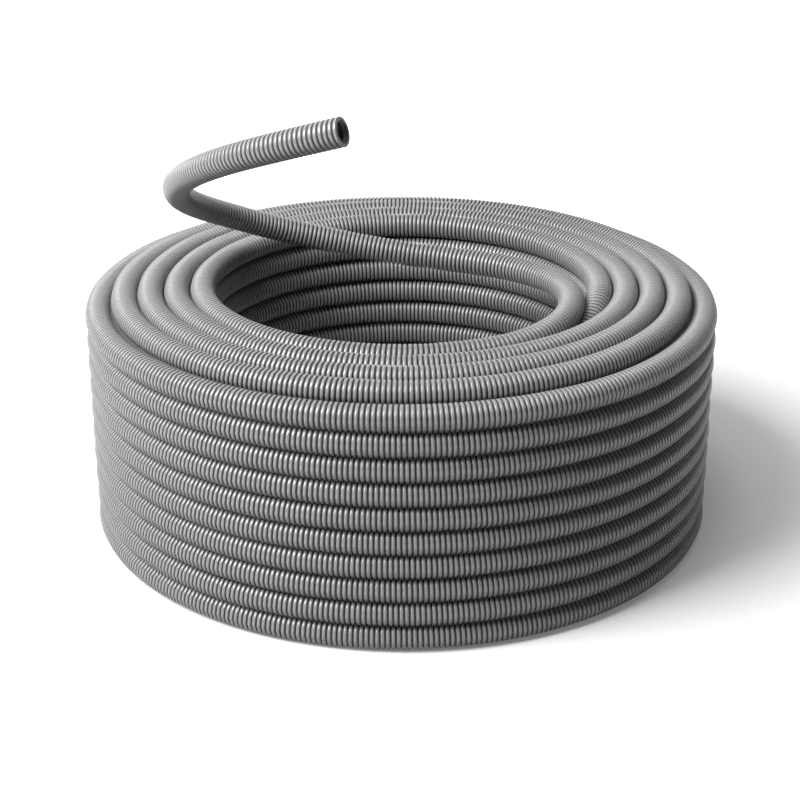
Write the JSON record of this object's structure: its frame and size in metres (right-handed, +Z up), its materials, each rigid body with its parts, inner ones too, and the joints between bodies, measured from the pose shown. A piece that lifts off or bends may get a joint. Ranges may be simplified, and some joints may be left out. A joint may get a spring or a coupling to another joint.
{
  "type": "flexible conduit coil",
  "caption": "Round coil of grey corrugated flexible plastic conduit with an open eye, standing on its end, its inner end free and curled up over the eye.",
  "frame": {"origin": "on the floor, at the middle of the eye, which is the coil's axis", "axes": "+Z up along the coil's axis, -Y towards the side from which the picture was taken, +X to the right there"},
  "size_m": [0.39, 0.3898, 0.2941],
  "materials": {
    "conduit": "satin grey PVC, ribbed all along"
  },
  "bodies": {
    "root": {"conduit_coil": "conduit", "free_end": "conduit"}
  },
  "joints": []
}
